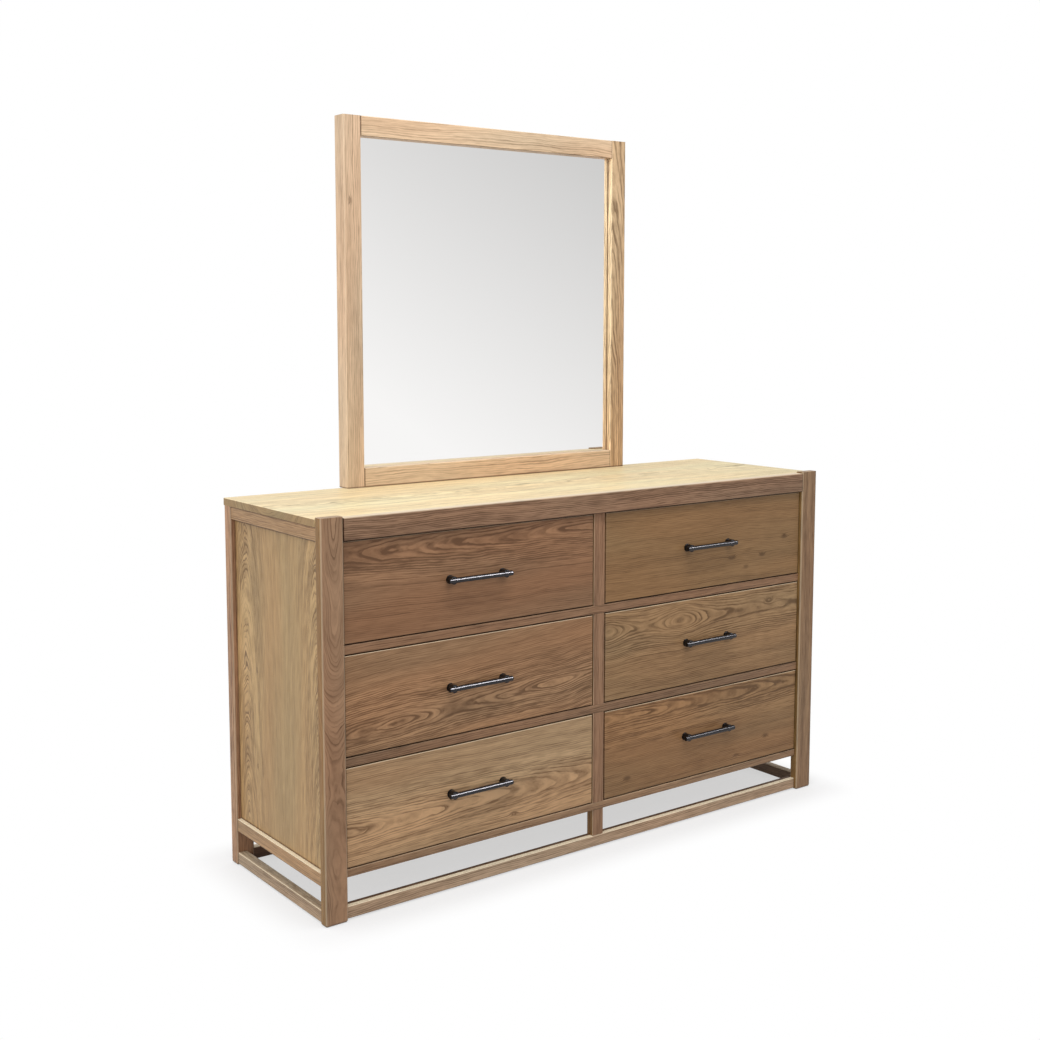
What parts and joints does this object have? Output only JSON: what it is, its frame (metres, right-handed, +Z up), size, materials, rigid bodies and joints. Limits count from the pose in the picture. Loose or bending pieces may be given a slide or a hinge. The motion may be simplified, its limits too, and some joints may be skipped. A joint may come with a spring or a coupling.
{
  "type": "dresser with mirror",
  "caption": "Wide oak chest of drawers on an open stretcher base, with inset fronts, dark bar pulls and a square framed mirror standing at the back of its top.",
  "frame": {"origin": "on the floor under the middle of the whole piece, pulls and mirror included", "axes": "+Z up, drawers face -Y, +X to the right of someone facing the drawers"},
  "size_m": [1.5, 0.49, 1.751],
  "materials": {
    "oak_frame": "satin oak, upright or lengthwise grain",
    "oak_front": "satin oak veneer, grain across the drawers",
    "oak_panel": "satin oak veneer, upright grain",
    "oak_top": "satin oak, grain along the top",
    "oak_mirror": "satin oak, lighter than the case",
    "drawer_wood": "plain sanded softwood",
    "plywood": "sanded plywood",
    "gunmetal": "dark gunmetal, half gloss",
    "mirror_glass": "silvered glass",
    "screw_steel": "zinc plated"
  },
  "bodies": {
    "carcase": {"front_post_left": "oak_frame", "front_post_right": "oak_frame", "rear_leg_left": "oak_frame", "rear_leg_right": "oak_frame", "top_board": "oak_top", "front_top_rail": "oak_frame", "bottom_rail": "oak_frame", "drawer_rail_lower": "oak_frame", "drawer_rail_upper": "oak_frame", "centre_stiles": "oak_frame", "centre_leg": "oak_frame", "front_stretcher": "oak_frame", "rear_stretcher": "oak_frame", "side_stretcher_left": "oak_frame", "side_stretcher_right": "oak_frame", "side_rails_left": "oak_frame", "side_panel_left": "oak_panel", "side_rails_right": "oak_frame", "side_panel_right": "oak_panel", "back_panel": "plywood", "rear_rails": "drawer_wood", "drawer_runners": "drawer_wood", "drawer_guides": "drawer_wood", "mirror_stile_left": "oak_mirror", "mirror_stile_right": "oak_mirror", "mirror_rails": "oak_mirror", "mirror_glass": "mirror_glass", "mirror_backing": "plywood", "mirror_supports": "drawer_wood", "support_screws": "screw_steel"},
    "drawer_lower_left": {"drawer_front_lower_left": "oak_front", "drawer_sides_lower_left": "drawer_wood", "drawer_back_lower_left": "drawer_wood", "drawer_bottom_lower_left": "plywood", "pull_lower_left": "gunmetal"},
    "drawer_lower_right": {"drawer_front_lower_right": "oak_front", "drawer_sides_lower_right": "drawer_wood", "drawer_back_lower_right": "drawer_wood", "drawer_bottom_lower_right": "plywood", "pull_lower_right": "gunmetal"},
    "drawer_middle_left": {"drawer_front_middle_left": "oak_front", "drawer_sides_middle_left": "drawer_wood", "drawer_back_middle_left": "drawer_wood", "drawer_bottom_middle_left": "plywood", "pull_middle_left": "gunmetal"},
    "drawer_middle_right": {"drawer_front_middle_right": "oak_front", "drawer_sides_middle_right": "drawer_wood", "drawer_back_middle_right": "drawer_wood", "drawer_bottom_middle_right": "plywood", "pull_middle_right": "gunmetal"},
    "drawer_upper_left": {"drawer_front_upper_left": "oak_front", "drawer_sides_upper_left": "drawer_wood", "drawer_back_upper_left": "drawer_wood", "drawer_bottom_upper_left": "plywood", "pull_upper_left": "gunmetal"},
    "drawer_upper_right": {"drawer_front_upper_right": "oak_front", "drawer_sides_upper_right": "drawer_wood", "drawer_back_upper_right": "drawer_wood", "drawer_bottom_upper_right": "plywood", "pull_upper_right": "gunmetal"}
  },
  "joints": [
    {"name": "drawer_lower_left_slide", "type": "slide", "parent": "carcase", "child": "drawer_lower_left", "axis": [0, -1, 0], "range_m": [0, 0.3]},
    {"name": "drawer_lower_right_slide", "type": "slide", "parent": "carcase", "child": "drawer_lower_right", "axis": [0, -1, 0], "range_m": [0, 0.3]},
    {"name": "drawer_middle_left_slide", "type": "slide", "parent": "carcase", "child": "drawer_middle_left", "axis": [0, -1, 0], "range_m": [0, 0.3]},
    {"name": "drawer_middle_right_slide", "type": "slide", "parent": "carcase", "child": "drawer_middle_right", "axis": [0, -1, 0], "range_m": [0, 0.3]},
    {"name": "drawer_upper_left_slide", "type": "slide", "parent": "carcase", "child": "drawer_upper_left", "axis": [0, -1, 0], "range_m": [0, 0.3]},
    {"name": "drawer_upper_right_slide", "type": "slide", "parent": "carcase", "child": "drawer_upper_right", "axis": [0, -1, 0], "range_m": [0, 0.3]}
  ]
}
